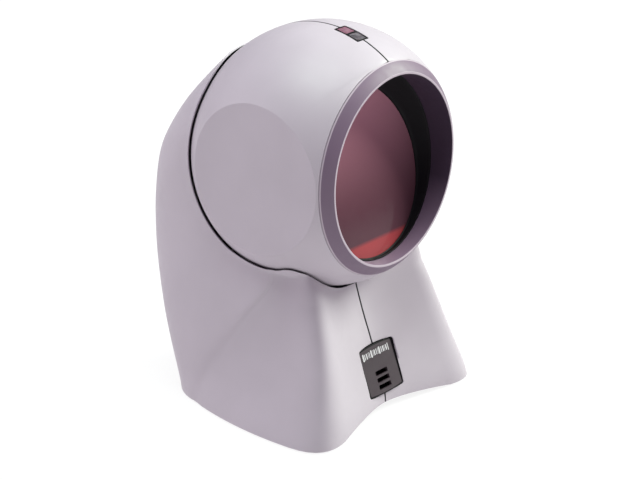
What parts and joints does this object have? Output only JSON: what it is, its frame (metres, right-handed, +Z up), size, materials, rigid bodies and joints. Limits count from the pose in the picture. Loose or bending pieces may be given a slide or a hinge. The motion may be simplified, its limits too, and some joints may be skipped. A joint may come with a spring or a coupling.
{
  "type": "presentation barcode scanner",
  "caption": "Hands-free presentation barcode scanner: a ball-shaped head with a round, recessed dark red window tilts in a pedestal stand with a tall rear cowl.",
  "frame": {"origin": "middle of the object's box on the surface it stands on", "axes": "+Z up, -Y out of the scan window, +X to the object's left as seen from the front"},
  "size_m": [0.1012, 0.1094, 0.15],
  "materials": {
    "case_grey": "fine satin texture",
    "bezel_lilac": "satin",
    "black_plastic": "matte",
    "badge_grey": "satin",
    "window_red": "clear, tinted dark red",
    "steel": "zinc plated",
    "iron": "painted",
    "rubber": "matte",
    "harness_jacket": "matte jacket",
    "circuit_board": "green solder mask",
    "optical_frame": "matte",
    "mirror": "polished",
    "brass": "turned",
    "lamp_red": "clear tinted",
    "lamp_clear": "clear"
  },
  "bodies": {
    "stand": {"stand_shell_left": "case_grey", "stand_shell_right": "case_grey", "front_badge": "badge_grey", "base_plate": "black_plastic", "base_screw_front_left": "steel", "base_screw_front_right": "steel", "base_screw_back_left": "steel", "base_screw_back_right": "steel", "foot_front_left": "rubber", "foot_front_right": "rubber", "foot_back_left": "rubber", "foot_back_right": "rubber", "ballast_weight": "iron", "ballast_screw_left": "steel", "ballast_screw_right": "steel", "interface_board": "circuit_board", "board_screw_left": "steel", "board_screw_right": "steel", "cable_socket": "black_plastic", "speaker": "black_plastic"},
    "head": {"tilt_stem": "steel", "spring_washer": "steel", "ring_nut": "brass", "harness": "harness_jacket", "head_shell_left": "case_grey", "head_shell_right": "case_grey", "window_bezel": "bezel_lilac", "window_baffle": "black_plastic", "scan_window": "window_red", "indicator_frame": "black_plastic", "indicator_lens_red": "lamp_red", "indicator_lens_clear": "lamp_clear", "led_red": "lamp_red", "led_clear": "lamp_clear", "led_board": "circuit_board", "optical_frame": "optical_frame", "pattern_mirror_top": "mirror", "pattern_mirror_upper_left": "mirror", "pattern_mirror_upper_right": "mirror", "pattern_mirror_lower_left": "mirror", "pattern_mirror_lower_right": "mirror", "frame_screw_top_left": "steel", "frame_screw_top_right": "steel", "frame_screw_bottom_left": "steel", "frame_screw_bottom_right": "steel", "motor_stator": "iron", "motor_board": "circuit_board", "laser_module": "brass", "laser_clamp": "black_plastic", "fold_mirror": "mirror", "collecting_mirror": "mirror", "detector_board": "circuit_board", "photodetector": "black_plastic", "main_board": "circuit_board", "main_board_screw_upper": "steel", "main_board_screw_lower": "steel"},
    "polygon": {"rotor_shaft": "steel", "rotor_hub": "brass", "polygon_mirror": "mirror"}
  },
  "joints": [
    {"name": "head_tilt", "type": "hinge", "parent": "stand", "child": "head", "pos_m": [0, -0.0158, 0.099], "axis": [1, 0, 0], "range_deg": [-15, 15], "deforming": ["harness"]},
    {"name": "polygon_spin", "type": "hinge", "parent": "head", "child": "polygon", "pos_m": [0, -0.0158, 0.099], "axis": [0, 1, 0], "continuous": true}
  ]
}
